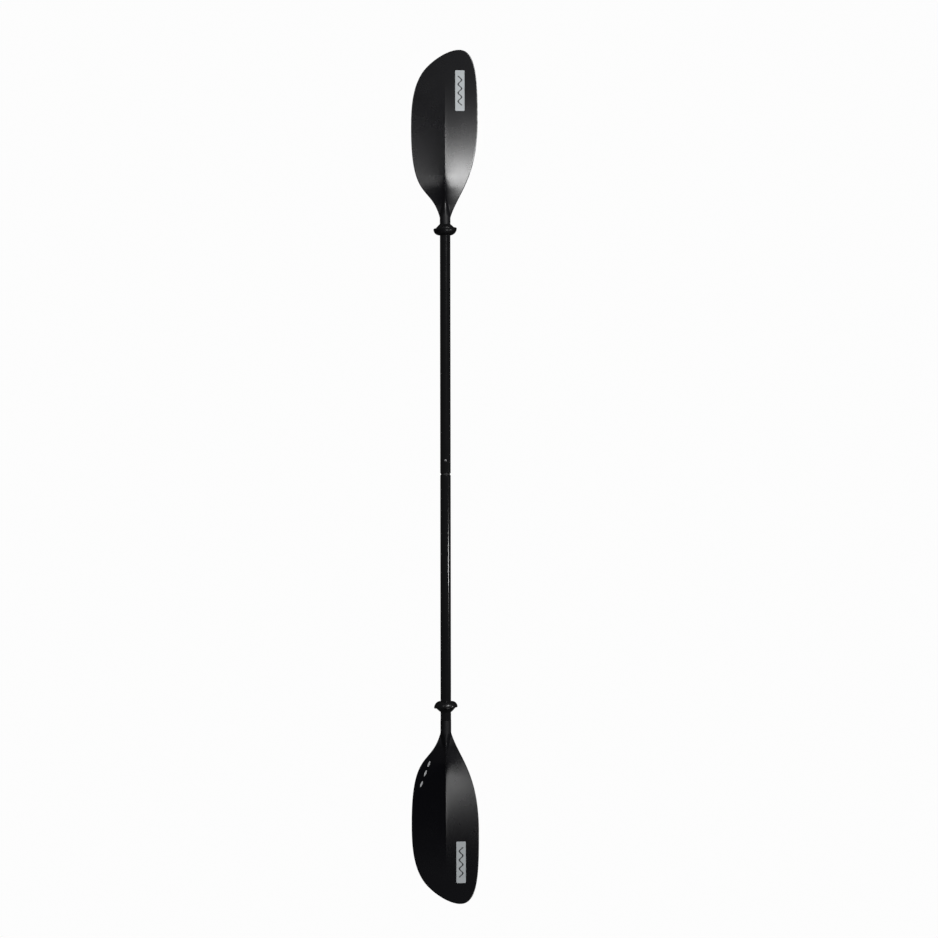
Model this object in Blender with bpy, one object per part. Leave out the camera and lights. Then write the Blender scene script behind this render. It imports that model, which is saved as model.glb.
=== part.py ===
"""Two-piece kayak paddle: an aluminium shaft with a push-button joint, two moulded blades
and two sliding drip rings.

Metres. +Z runs up the shaft, -Y is the side of the power faces and the button, and the origin
is on the shaft's axis at the middle of the joint. The lower half carries the ferrule, and the
upper half slides and turns on it.
"""
import math

import bmesh
import bpy
import numpy as np
from mathutils import Matrix, Vector

# Whole paddle
overall_length = 2.286
round_steps = 48
small_round_steps = 24
touch_gap = 0.0003
smooth_angle = math.radians(30)

# Shaft tubes
shaft_diameter = 0.028
shaft_wall = 0.0012
tube_end_chamfer = 0.0004
joint_gap = 0.005

# Ferrule, its seal and its cap
ferrule_wall = 0.002
ferrule_clearance = 0.0002
ferrule_reach_up = 0.110
ferrule_reach_down = 0.080
seal_section = 0.001
seal_clearance = 0.0003
seal_groove_depth = 0.0011
seal_edge = 0.00025
cap_flange = 0.003
cap_stem = 0.008
cap_stem_clearance = 0.0003

# Push button and its V spring
button_height = 0.0355
button_radius = 0.0037
button_clearance = 0.0003
button_proud = 0.0018
button_edge = 0.0009
button_dome = 0.0002
feather_angle = math.radians(60)
spring_width = 0.006
spring_thickness = 0.0006
spring_leg = 0.040
spring_tail = 0.007
spring_spread = 0.005
spring_bend_turn = math.radians(150)
spring_bend_steps = 7

# Rivets of the ferrule and pins of the blades, all at the back
rivet_radius = 0.0016
rivet_clearance = 0.00015
rivet_head_radius = 0.0032
rivet_head_height = 0.001
rivet_crown_radius = 0.0024
rivet_crown_height = 0.0007
rivet_tail_radius = 0.0022
rivet_tail_end_radius = 0.0015
rivet_tail_height = 0.001
rivet_seat_gap = 0.0001
rivet_places = (0.025, 0.055)
pin_radius = 0.002
pin_clearance = 0.0002
pin_from_tube_end = 0.025
pin_bite = 0.002
pin_edge = 0.0002

# Foam bungs in the tubes
bung_length = 0.050
bung_clearance = 0.0004
bung_from_ferrule = 0.020
bung_edge = 0.0016

# Blade: spigot and neck
blade_length = 0.456
neck_length = 0.033
neck_proud = 0.0003
spigot_length = 0.050
spigot_clearance = 0.0003
spigot_wall = 0.003
spigot_bottom = 0.006
spigot_entry = 0.0012

# Blade: outline, as reach from the axis and distance from the flare or the tip
long_side_reach = 0.0878
long_side_from_flare = 0.2661
long_side_rise = 0.1586
long_side_fall = 0.109
long_side_flare = (0.0191, 0.0645)
long_side_corner = 0.0479
short_side_reach = 0.0916
short_side_from_flare = 0.2438
short_side_rise = 0.2023
short_side_fall = 0.0523
short_side_flare = (0.0242, 0.0906)
slant_reach = 0.0592
slant_from_tip = 0.0584
slant_angle = math.radians(54.4)
slant_handles = (0.052, 0.0315)
tip_offset = 0.038
tip_handle = 0.0334
outline_steps = 40

# Blade: section
blade_edge_thickness = 0.0032
ridge_height = 0.016
ridge_forms_over = 0.085
ridge_ends_at = 0.391
ridge_sharpness_near = 0.6
ridge_sharpness_far = 0.9
back_share = 0.70
cup_depth = 0.001
cup_ends_at = 0.300
bow_slope = 0.20
bow_forms_over = 0.105
bow_turns_at = 0.328
edge_forms_over = 0.024
rib_length = 0.060
rib_narrowing = 0.35
rib_end_width = 0.010
spine_length = 0.260
spine_width = 0.012
spine_narrowing = 2.0
swell_end_roundness = 0.5
swell_sinking = 3.0
blend_radius = 0.003
tip_round = 0.00025

# Blade: how its mesh is divided
middle_share = 0.35
blade_bow_steps = 400
ridge_gather = 0.5
blade_side_steps = 9
blade_rows = 32
blade_row_evenness = 0.3
blade_smooth_angle = math.radians(25)

# Drip rings
ring_rim_radius = 0.0312
ring_bore_clearance = 0.0003
ring_bowl_depth = 0.0165
ring_cone_height = 0.0115
ring_hub_wall = 0.0016
ring_lip = 0.0016
ring_groove_depth = 0.006
ring_groove_width = 0.004
ring_cant = math.radians(3.2)
ring_steps = 40
ring_bowl_steps = 6
ring_past_neck_upper = 0.003
ring_past_neck_lower = -0.034

# Stickers on the power faces
label_width = 0.025
label_length = 0.110
label_thickness = 0.0003
label_from_tip = 0.055
label_from_axis = 0.040
label_lift = 0.0003
label_columns = 5
label_rows = 9

# Looks: colour, roughness and metallic share
looks = {
    "coated_tube": ((0.012, 0.012, 0.014), 0.22, 0.3),
    "blade_plastic": ((0.022, 0.022, 0.026), 0.42, 0.0),
    "ring_rubber": ((0.015, 0.015, 0.017), 0.6, 0.0),
    "seal_rubber": ((0.020, 0.020, 0.022), 0.7, 0.0),
    "ferrule_plastic": ((0.030, 0.030, 0.033), 0.4, 0.0),
    "spring_steel": ((0.32, 0.32, 0.33), 0.3, 1.0),
    "pin_metal": ((0.050, 0.050, 0.055), 0.35, 0.8),
    "bung_foam": ((0.32, 0.32, 0.33), 0.9, 0.0),
    "sticker_film": ((0.55, 0.57, 0.58), 0.45, 0.0),
}

# What follows from the sizes above
half_length = overall_length / 2
shaft_radius = shaft_diameter / 2
bore_radius = shaft_radius - shaft_wall
ferrule_radius = bore_radius - ferrule_clearance
ferrule_bore = ferrule_radius - ferrule_wall
flare_start = half_length - blade_length
neck_start = flare_start - neck_length
tube_end = neck_start - touch_gap
ring_height_upper = neck_start + ring_past_neck_upper
ring_height_lower = neck_start + ring_past_neck_lower
neck_radius = shaft_radius + neck_proud
button_top = shaft_radius + button_proud


def clear_scene():
    for existing in list(bpy.data.objects):
        bpy.data.objects.remove(existing, do_unlink=True)


def material(name):
    colour, roughness, metallic = looks[name]
    made = bpy.data.materials.new(name)
    made.use_nodes = True
    shader = made.node_tree.nodes["Principled BSDF"]
    shader.inputs["Base Color"].default_value = (*colour, 1.0)
    shader.inputs["Roughness"].default_value = roughness
    shader.inputs["Metallic"].default_value = metallic
    return made


def empty(name, parent=None):
    made = bpy.data.objects.new(name, None)
    bpy.context.scene.collection.objects.link(made)
    made.parent = parent
    return made


def finish(name, bm, look, parent=None, place=(0, 0, 0), sharp_from=smooth_angle):
    """Turns a bmesh into a named object with its faces pointing out and its curves smooth."""
    bmesh.ops.recalc_face_normals(bm, faces=bm.faces)
    mesh = bpy.data.meshes.new(name)
    bm.to_mesh(mesh)
    bm.free()
    mesh.shade_smooth()
    mesh.set_sharp_from_angle(angle=sharp_from)
    if look:
        mesh.materials.append(look)
    made = bpy.data.objects.new(name, mesh)
    bpy.context.scene.collection.objects.link(made)
    made.parent = parent
    made.location = place
    return made


def turned(profile, steps=round_steps):
    """Spins a closed (radius, height) profile about Z. Points at radius 0 become poles."""
    bm = bmesh.new()
    corners = [bm.verts.new((radius, 0, height)) for radius, height in profile]
    edges = [bm.edges.new(pair) for pair in zip(corners, corners[1:] + corners[:1])]
    bmesh.ops.spin(
        bm, geom=corners + edges, cent=(0, 0, 0), axis=(0, 0, 1),
        angle=math.tau, steps=steps, use_merge=True, use_duplicate=False,
    )
    bmesh.ops.remove_doubles(bm, verts=bm.verts, dist=1e-6)
    bmesh.ops.dissolve_degenerate(bm, edges=bm.edges, dist=1e-7)
    on_axis = [edge for edge in bm.edges if not edge.link_faces]
    bmesh.ops.delete(bm, geom=on_axis, context="EDGES")
    return bm


def loft(sections, last_pole=None):
    """Skins equal-sized closed sections in order, and closes the ends. A pole makes a fan."""
    bm = bmesh.new()
    rings = [[bm.verts.new(point) for point in section] for section in sections]
    count = len(rings[0])
    for low, high in zip(rings, rings[1:]):
        for k in range(count):
            after = (k + 1) % count
            bm.faces.new((low[k], low[after], high[after], high[k]))
    bm.faces.new(rings[0])
    if last_pole is None:
        bm.faces.new(rings[-1])
        return bm
    top = bm.verts.new(last_pole)
    for k in range(count):
        bm.faces.new((rings[-1][k], rings[-1][(k + 1) % count], top))
    return bm


def drill(target, name, radius, start, end):
    """Cuts a round hole from start to end through the target."""
    direction = Vector(end) - Vector(start)
    turn = direction.to_track_quat("Z", "Y").to_matrix().to_4x4()
    middle = (Vector(start) + Vector(end)) / 2
    bm = bmesh.new()
    bmesh.ops.create_cone(
        bm, cap_ends=True, segments=small_round_steps, radius1=radius, radius2=radius,
        depth=direction.length, matrix=Matrix.Translation(middle) @ turn,
    )
    cutter = finish(name, bm, None)
    cutter.hide_render = True
    cutter.display_type = "WIRE"
    cut = target.modifiers.new(name, "BOOLEAN")
    cut.operation = "DIFFERENCE"
    cut.solver = "EXACT"
    cut.object = cutter


def outward(angle, distance, height):
    """A point at a distance from the shaft's axis; angle 0 is the button's side, -Y."""
    return (distance * math.sin(angle), -distance * math.cos(angle), height)


def ease(value):
    """0 below 0, 1 above 1, and a smooth rise between."""
    value = np.clip(value, 0.0, 1.0)
    return value * value * (3 - 2 * value)


def bezier(start, handle, other_handle, end):
    """Points of a cubic Bezier curve."""
    t = np.linspace(0, 1, outline_steps)[:, None]
    weights = ((1 - t) ** 3, 3 * (1 - t) ** 2 * t, 3 * (1 - t) * t**2, t**3)
    corners = (start, handle, other_handle, end)
    return sum(weight * np.array(corner) for weight, corner in zip(weights, corners))


# Shaft

def shaft_tube(side, name, look, parent):
    """Drawn tube with eased ends. Side is +1 for the upper half and -1 for the lower."""
    near, far = joint_gap / 2, tube_end
    ease_end = tube_end_chamfer
    profile = [
        (bore_radius, near),
        (shaft_radius - ease_end, near),
        (shaft_radius, near + ease_end),
        (shaft_radius, far - ease_end),
        (shaft_radius - ease_end, far),
        (bore_radius, far),
    ]
    tube = finish(name, turned([(r, side * z) for r, z in profile]), look, parent)
    pin = side * (tube_end - pin_from_tube_end)
    drill(
        tube, f"{name}_pin_hole", pin_radius + pin_clearance,
        outward(math.pi, bore_radius - shaft_wall, pin),
        outward(math.pi, shaft_radius + shaft_wall, pin),
    )
    return tube


def button_holes(tube):
    """One hole in line with the blades and one a feather angle to each side."""
    for number, angle in enumerate((0, feather_angle, -feather_angle), 1):
        drill(
            tube, f"button_hole_{number}", button_radius + button_clearance,
            outward(angle, bore_radius - shaft_wall, button_height),
            outward(angle, shaft_radius + shaft_wall, button_height),
        )


# Ferrule

def ferrule(look, parent):
    """Inner tube that is riveted into the lower half, with a groove for the seal."""
    groove = joint_gap / 2
    groove_radius = ferrule_radius - seal_groove_depth
    profile = [
        (ferrule_bore, -ferrule_reach_down),
        (ferrule_radius, -ferrule_reach_down),
        (ferrule_radius, -groove),
        (groove_radius, -groove),
        (groove_radius, groove),
        (ferrule_radius, groove),
        (ferrule_radius, ferrule_reach_up),
        (ferrule_bore, ferrule_reach_up),
    ]
    made = finish("ferrule", turned(profile), look, parent)
    drill(
        made, "ferrule_button_hole", button_radius + button_clearance,
        outward(0, ferrule_bore - ferrule_wall, button_height),
        outward(0, ferrule_radius + ferrule_wall, button_height),
    )
    return made


def joint_seal(look, parent):
    """Rubber ring that fills the gap between the two tubes."""
    inner = ferrule_radius - seal_groove_depth + seal_clearance / 2
    outer = inner + seal_section
    half = joint_gap / 2 - seal_clearance
    profile = [
        (inner, -half),
        (outer - seal_edge, -half),
        (outer, -half + seal_edge),
        (outer, half - seal_edge),
        (outer - seal_edge, half),
        (inner, half),
    ]
    return finish("joint_seal", turned(profile), look, parent)


def ferrule_cap(look, parent):
    """Moulded cap that closes the ferrule's open end."""
    stem = ferrule_bore - cap_stem_clearance
    flange = ferrule_radius
    base = ferrule_reach_up + touch_gap
    profile = [
        (0, base - cap_stem),
        (stem, base - cap_stem),
        (stem, base),
        (flange, base),
        (flange, base + cap_flange / 2),
        (flange - cap_flange / 2, base + cap_flange),
        (0, base + cap_flange),
    ]
    return finish("ferrule_cap", turned(profile), look, parent)


def ferrule_rivets(tube, sleeve, look, parent):
    """Two blind rivets through the back of the lower tube and the ferrule."""
    under_head = shaft_radius + rivet_seat_gap
    under_tail = math.sqrt(ferrule_bore**2 - rivet_tail_radius**2) - touch_gap / 2
    profile = [
        (0, under_tail - rivet_tail_height),
        (rivet_tail_end_radius, under_tail - rivet_tail_height),
        (rivet_tail_radius, under_tail),
        (rivet_radius, under_tail),
        (rivet_radius, under_head),
        (rivet_head_radius, under_head),
        (rivet_crown_radius, under_head + rivet_crown_height),
        (0, under_head + rivet_head_height),
    ]
    for number, place in enumerate(rivet_places, 1):
        for target in (tube, sleeve):
            drill(
                target, f"{target.name}_rivet_hole_{number}", rivet_radius + rivet_clearance,
                outward(math.pi, ferrule_bore - ferrule_wall, -place),
                outward(math.pi, shaft_radius + shaft_wall, -place),
            )
        rivet = finish(f"ferrule_rivet_{number}", turned(profile, small_round_steps), look, parent)
        rivet.location = (0, 0, -place)
        rivet.rotation_euler = (-math.pi / 2, 0, 0)


# Push button

def strip(points, thickness, width):
    """Bends a flat strip along (y, z) points."""
    path = np.array(points)
    along = np.gradient(path, axis=0)
    along /= np.linalg.norm(along, axis=1)[:, None]
    across = np.stack([-along[:, 1], along[:, 0]], axis=1) * thickness / 2
    sections = [
        [(x, *(point + step)) for x, step in (
            (-width / 2, -side), (width / 2, -side), (width / 2, side), (-width / 2, side),
        )]
        for point, side in zip(path, across)
    ]
    return loft(sections)


def snap_button(look, parent):
    """Stud on one leg of a V spring. The other leg leans on the ferrule's far wall."""
    front = math.sqrt(ferrule_bore**2 - (spring_width / 2) ** 2) - touch_gap
    leg = front - spring_thickness / 2
    turn = spring_spread / 2
    bend = [
        (-leg + turn - turn * math.cos(a), spring_leg + turn * math.sin(a))
        for a in np.linspace(0, spring_bend_turn, spring_bend_steps)
    ]
    points = [(-leg, -spring_tail), (-leg, 0), (-leg, spring_leg / 2), *bend, (leg, -spring_tail)]
    made = finish("snap_button", strip(points, spring_thickness, spring_width), look, parent)
    made.location = (0, 0, button_height)
    stud = turned(
        [
            (0, leg),
            (button_radius, leg),
            (button_radius, button_top - button_edge),
            (button_radius - button_edge, button_top - button_dome),
            (0, button_top),
        ],
        small_round_steps,
    )
    bmesh.ops.rotate(stud, verts=stud.verts, matrix=Matrix.Rotation(math.pi / 2, 3, "X"))
    body = finish("snap_button_stud", stud, None, None, (0, 0, button_height))
    body.hide_render = True
    body.display_type = "WIRE"
    join = made.modifiers.new("stud", "BOOLEAN")
    join.operation = "UNION"
    join.solver = "EXACT"
    join.object = body
    return made


# Foam bungs

def tube_bung(side, name, look, parent):
    """Closed-cell foam plug past the ferrule's end, which keeps water out of the tube."""
    reach = ferrule_reach_up if side > 0 else ferrule_reach_down
    base = reach + bung_from_ferrule
    radius = bore_radius - bung_clearance
    profile = [
        (0, base),
        (radius - bung_edge, base),
        (radius, base + bung_edge),
        (radius, base + bung_length - bung_edge),
        (radius - bung_edge, base + bung_length),
        (0, base + bung_length),
    ]
    return finish(name, turned([(r, side * z) for r, z in profile]), look, parent)


# Blades

def side_curves():
    """The two edges as dense (x, distance from the flare) curves from the neck to the tip."""
    tip = (tip_offset, blade_length)
    long_start = (neck_radius, 0)
    long_turn = (long_side_reach, long_side_from_flare)
    long_side = np.vstack([
        bezier(
            long_start, np.add(long_start, long_side_flare),
            (long_side_reach, long_side_from_flare - long_side_rise), long_turn,
        ),
        bezier(
            long_turn, (long_side_reach, long_side_from_flare + long_side_fall),
            (tip_offset + long_side_corner, blade_length), tip,
        ),
    ])
    lean = np.array([math.cos(slant_angle), math.sin(slant_angle)])
    slant = np.array([-slant_reach, blade_length - slant_from_tip])
    short_turn = (-short_side_reach, short_side_from_flare)
    short_side = np.vstack([
        bezier(
            (-neck_radius, 0), (-neck_radius - short_side_flare[0], short_side_flare[1]),
            (-short_side_reach, short_side_from_flare - short_side_rise), short_turn,
        ),
        bezier(
            short_turn, (-short_side_reach, short_side_from_flare + short_side_fall),
            slant - lean * slant_handles[0], slant,
        ),
        bezier(slant, slant + lean * slant_handles[1], (tip_offset - tip_handle, blade_length), tip),
    ])
    return short_side, long_side


def edges_at(distance):
    """How far the short and the long side reach at a distance from the flare."""
    short_side, long_side = side_curves()
    left = np.interp(distance, short_side[:, 1], short_side[:, 0])
    right = np.interp(distance, long_side[:, 1], long_side[:, 0])
    return left, right


def middle_column(distance):
    """Where a section's middle column lies: on the axis, or inside the outline near the tip."""
    left, right = edges_at(distance)
    return np.maximum(left + middle_share * (right - left), 0)


def out_share(x, distance):
    """How far out x lies between the axis, 0, and the edge on its side, 1."""
    left, right = edges_at(distance)
    reach = np.where(x < 0, -left, right)
    return np.clip(np.abs(x) / np.maximum(reach, touch_gap), 0, 1)


def mid_surface(x, distance):
    """The blade's spoon shape: a bow along it, added up from its slope, and a cup across it."""
    steps = np.linspace(0, blade_length, blade_bow_steps)
    slope = bow_slope * ease(steps / bow_forms_over) * (1 - steps / bow_turns_at)
    bowed = np.cumsum(slope) * steps[1]
    formed = ease(distance / ridge_forms_over)
    left_over = 1 - ease((distance - ridge_forms_over) / (cup_ends_at - ridge_forms_over))
    cup = cup_depth * formed * left_over * out_share(x, distance) ** 2
    return np.interp(distance, steps, bowed) - cup


def joined(one, other, freedom):
    """The larger of two heights, with a fillet where they meet. At freedom 0 there is none."""
    near = np.clip(1 - np.abs(one - other) / blend_radius, 0, 1)
    return np.maximum(one, other) + near**2 * freedom * blend_radius / 4


def swell(x, half_width, height, share):
    """The neck's round form over the blade: a half circle that turns into a low arch.

    It goes below zero past its sides, so that the blade's own face shows there.
    """
    roundness = swell_end_roundness + ease(swell_sinking * share)
    arch = 1 - (x / half_width) ** 2
    return height * np.sign(arch) * np.abs(arch) ** roundness


def faces_at(x, distance):
    """Front and back y of the blade at x and a distance from the flare."""
    ridge_fades = (distance - ridge_forms_over) / (ridge_ends_at - ridge_forms_over)
    ridge = ridge_height * ease(distance / ridge_forms_over) * (1 - ease(ridge_fades))
    opened = ease((distance - rib_length) / rib_length)
    sharpness = ridge_sharpness_near + (ridge_sharpness_far - ridge_sharpness_near) * opened
    tent = ridge * (1 - out_share(x, distance) ** sharpness)
    formed = ease(distance / edge_forms_over)
    thin = blade_edge_thickness / 2 * formed

    run = np.clip(distance / rib_length, 0, 1)
    rib_half = np.maximum(neck_radius * (1 - run**2) ** rib_narrowing, rib_end_width / 2)
    rib_height = neck_radius - (neck_radius - thin - ridge) * ease(run)
    rib = swell(x, rib_half, rib_height, run)
    front = joined(thin + tent, rib, formed * (1 - run))

    sunk = ease(distance / spine_length)
    narrowed = ease(spine_narrowing * distance / spine_length)
    spine_half = neck_radius - (neck_radius - spine_width / 2) * narrowed
    spine = swell(x, spine_half, neck_radius * (1 - sunk), distance / spine_length)
    back = joined(thin - back_share * tent, spine, formed * (1 - sunk))

    middle = mid_surface(x, distance)
    return middle - front, middle + back


def section_angles():
    """Even angles across the front from the short side to the long side, ends left out."""
    return np.linspace(0, math.pi, 2 * blade_side_steps + 1)[1:-1]


def round_section(radius, height):
    """A circle whose corners match those of the blade's sections."""
    across = -np.cos(section_angles())
    depth = np.sin(section_angles())
    front = np.stack([across, -depth], axis=1)
    back = np.stack([across, depth], axis=1)[::-1]
    loop = np.vstack([[(-1, 0)], front, [(1, 0)], back]) * radius
    return [(x, y, height) for x, y in loop]


def blade_section(distance):
    """One closed section across the blade, with the ridge on a corner."""
    left, right = edges_at(distance)
    column = middle_column(distance)
    across = -np.cos(section_angles())
    across *= np.abs(across) ** (ridge_gather * ease(distance / rib_length))
    x = column + np.where(across < 0, column - left, right - column) * across
    front, back = faces_at(x, distance)
    height = flare_start + distance
    loop = [(left, mid_surface(left, distance))]
    loop += list(zip(x, front))
    loop += [(right, mid_surface(right, distance))]
    loop += list(zip(x[::-1], back[::-1]))
    return [(float(u), float(v), height) for u, v in loop]


def blade(side, name, look, parent):
    """Moulded blade with a hollow spigot that fits the tube. Side -1 is its mirror image."""
    spigot_radius = bore_radius - spigot_clearance
    hollow = spigot_radius - spigot_wall
    spigot_end = neck_start - spigot_length
    sections = [
        round_section(hollow, neck_start - spigot_bottom),
        round_section(hollow, spigot_end),
        round_section(spigot_radius - spigot_entry, spigot_end),
        round_section(spigot_radius, spigot_end + spigot_entry),
        round_section(spigot_radius, neck_start),
        round_section(neck_radius, neck_start),
        round_section(neck_radius, flare_start),
    ]
    steps = np.linspace(0, 1, blade_rows + 1)[1:-1]
    gathered = (1 - np.cos(math.pi * steps)) / 2
    distances = blade_length * (gathered + blade_row_evenness * (steps - gathered))
    sections += [blade_section(distance) for distance in distances]
    sections += [blade_section(blade_length - tip_round)]
    tip = (tip_offset, float(mid_surface(tip_offset, blade_length)), half_length)
    bm = loft(sections, last_pole=tip)
    bmesh.ops.scale(bm, vec=(1, 1, side), verts=bm.verts)
    made = finish(name, bm, look, parent, sharp_from=blade_smooth_angle)
    pin = side * (tube_end - pin_from_tube_end)
    drill(
        made, f"{name}_pin_hole", pin_radius + pin_clearance,
        outward(math.pi, hollow - pin_bite - touch_gap, pin),
        outward(math.pi, shaft_radius, pin),
    )
    return made


def blade_pin(side, name, look, parent):
    """Flush pin through the back of the tube into the blade's spigot."""
    inner = bore_radius - spigot_clearance - spigot_wall - pin_bite
    outer = math.sqrt(shaft_radius**2 - pin_radius**2)
    profile = [
        (0, inner),
        (pin_radius - pin_edge, inner),
        (pin_radius, inner + pin_edge),
        (pin_radius, outer - pin_edge),
        (pin_radius - pin_edge, outer),
        (0, outer),
    ]
    made = finish(name, turned(profile, small_round_steps), look, parent)
    made.location = (0, 0, side * (tube_end - pin_from_tube_end))
    made.rotation_euler = (-math.pi / 2, 0, 0)
    return made


# Drip rings

def drip_ring(side, name, height, look, parent):
    """Rubber ring: a bowl towards the hands, a cone towards the blade and a groove between."""
    bore = neck_radius + ring_bore_clearance
    hub = bore + ring_hub_wall
    rim = ring_rim_radius
    bowl = [
        (
            hub + (rim - hub) * math.sin(a),
            -ring_bowl_depth * math.cos(a),
        )
        for a in np.linspace(0, math.pi / 2, ring_bowl_steps)
    ]
    lip = rim - ring_lip
    cone_foot = lip - ring_groove_width
    profile = [(bore, -ring_bowl_depth), *bowl]
    profile += [
        (lip, ring_lip / 2),
        ((lip + cone_foot) / 2, -ring_groove_depth),
        (cone_foot, ring_lip),
        (hub, ring_cone_height),
        (bore, ring_cone_height),
    ]
    bm = turned([(r, side * z) for r, z in profile], ring_steps)
    for corner in bm.verts:
        radius = math.hypot(corner.co.x, corner.co.y)
        loose = max(radius - hub, 0) / (rim - hub)
        corner.co.z += corner.co.x * math.tan(ring_cant) * loose
    return finish(name, bm, look, parent, (0, 0, side * height))


# Stickers

def label(side, name, look, parent):
    """Thin sticker that follows the long side of the power face."""
    across = np.linspace(-label_width / 2, label_width / 2, label_columns) + label_from_axis
    start = blade_length - label_from_tip - label_length
    sections = []
    for distance in np.linspace(start, start + label_length, label_rows):
        front = faces_at(across, distance)[0] - label_lift
        height = side * (flare_start + distance)
        under = [(x, y, height) for x, y in zip(across, front)]
        over = [(x, y - label_thickness, height) for x, y in zip(across, front)]
        sections.append(under + over[::-1])
    return finish(name, loft(sections), look, parent)


def build():
    clear_scene()
    made = {name: material(name) for name in looks}

    lower_half = empty("lower_half")
    turning = empty("joint_turn", lower_half)
    upper_half = empty("upper_half", turning)

    lower_tube = shaft_tube(-1, "shaft_lower", made["coated_tube"], lower_half)
    upper_tube = shaft_tube(1, "shaft_upper", made["coated_tube"], upper_half)
    button_holes(upper_tube)

    inner = ferrule(made["ferrule_plastic"], lower_half)
    ferrule_rivets(lower_tube, inner, made["pin_metal"], lower_half)
    ferrule_cap(made["ferrule_plastic"], lower_half)
    joint_seal(made["seal_rubber"], turning)
    snap_button(made["spring_steel"], lower_half)

    halves = (
        (1, "upper", upper_half, ring_height_upper),
        (-1, "lower", lower_half, ring_height_lower),
    )
    for side, half, parent, ring_height in halves:
        tube_bung(side, f"tube_bung_{half}", made["bung_foam"], parent)
        blade(side, f"blade_{half}", made["blade_plastic"], parent)
        blade_pin(side, f"blade_pin_{half}", made["pin_metal"], parent)
        drip_ring(side, f"drip_ring_{half}", ring_height, made["ring_rubber"], parent)
        label(side, f"label_{half}", made["sticker_film"], parent)


build()
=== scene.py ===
"""Looks of a two-piece kayak paddle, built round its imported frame.

Metres. +Z runs up the shaft, -Y is the side of the power faces and the button, and the origin is
on the shaft's axis at the middle of the joint.
"""
import math

import bmesh
import bpy
import numpy as np
from mathutils import Matrix, Vector


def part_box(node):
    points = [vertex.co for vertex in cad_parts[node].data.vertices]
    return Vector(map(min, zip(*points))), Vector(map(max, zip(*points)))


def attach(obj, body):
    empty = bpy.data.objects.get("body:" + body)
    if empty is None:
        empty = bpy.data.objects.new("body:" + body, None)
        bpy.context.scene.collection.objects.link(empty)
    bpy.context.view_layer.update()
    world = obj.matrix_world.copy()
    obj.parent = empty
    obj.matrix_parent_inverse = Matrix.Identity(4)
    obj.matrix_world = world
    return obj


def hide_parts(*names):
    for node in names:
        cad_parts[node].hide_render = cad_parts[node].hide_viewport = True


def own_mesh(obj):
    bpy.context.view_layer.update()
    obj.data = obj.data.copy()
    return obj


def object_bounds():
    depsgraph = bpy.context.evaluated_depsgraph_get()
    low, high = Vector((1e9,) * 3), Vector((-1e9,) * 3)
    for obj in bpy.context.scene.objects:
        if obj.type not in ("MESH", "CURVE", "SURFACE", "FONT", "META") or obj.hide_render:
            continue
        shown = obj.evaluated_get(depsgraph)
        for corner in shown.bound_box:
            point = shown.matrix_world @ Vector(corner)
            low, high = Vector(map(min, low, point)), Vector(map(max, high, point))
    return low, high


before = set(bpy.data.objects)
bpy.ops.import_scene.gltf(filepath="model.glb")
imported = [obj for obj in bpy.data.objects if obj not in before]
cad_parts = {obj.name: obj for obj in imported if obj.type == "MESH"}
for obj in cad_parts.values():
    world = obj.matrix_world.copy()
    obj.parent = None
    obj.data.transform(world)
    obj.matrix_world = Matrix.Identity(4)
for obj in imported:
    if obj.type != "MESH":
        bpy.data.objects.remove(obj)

cad_low, cad_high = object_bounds()
halves = ((1, "upper"), (-1, "lower"))


# ---- Shaft tubes ---------------------------------------------------------------------------
# Two lengths of drawn aluminium tube under a gloss black baked coating. Their ends are cut square
# and eased, and a row just past the joint's end keeps the shading of the long faces even. The
# upper one has three holes for the push button, a feather angle apart.

shaft_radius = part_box("shaft_upper")[1].x
joint_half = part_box("shaft_upper")[0].z
tube_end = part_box("shaft_upper")[1].z
shaft_wall = 0.0012
tube_end_round = 0.0004
bore_radius = shaft_radius - shaft_wall
button_height = 0.0355
button_radius = 0.0037
button_hole_radius = button_radius + 0.0003
feather_angle = math.radians(60)
pin_radius = 0.002
pin_hole_radius = pin_radius + 0.0002
pin_height = tube_end - 0.025
hole_margin = 0.006
cut_reach = 0.001
tube_steps = 144
hole_steps = 48
sharp_angle = 30
end_bevel = 0.3
end_row = 2


def add(tree, kind, inputs=(), **settings):
    """Adds a node. Its inputs are set to values, or linked where a value is another socket."""
    made = tree.nodes.new("ShaderNode" + kind)
    for key, value in settings.items():
        setattr(made, key, value)
    for key, value in dict(inputs).items():
        if isinstance(value, bpy.types.NodeSocket):
            tree.links.new(value, made.inputs[key])
        else:
            made.inputs[key].default_value = value
    return made


def group(name, inputs, outputs):
    """An empty shader group. Inputs are name to (kind, value), outputs name to kind."""
    tree = bpy.data.node_groups.new(name, "ShaderNodeTree")
    for label, (kind, value) in inputs.items():
        socket = tree.interface.new_socket(label, in_out="INPUT", socket_type="NodeSocket" + kind)
        socket.default_value = value
    for label, kind in outputs.items():
        tree.interface.new_socket(label, in_out="OUTPUT", socket_type="NodeSocket" + kind)
    given = tree.nodes.new("NodeGroupInput")
    result = tree.nodes.new("NodeGroupOutput")
    return tree, given.outputs, result.inputs


slow_scale = 23.0
slow_detail = 4.0
slow_roughness = 0.6
grain_detail = 3.0
line_detail = 2.0
line_stretch = (1.0, 1.0, 0.01)
noise_middle = 0.5


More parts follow.
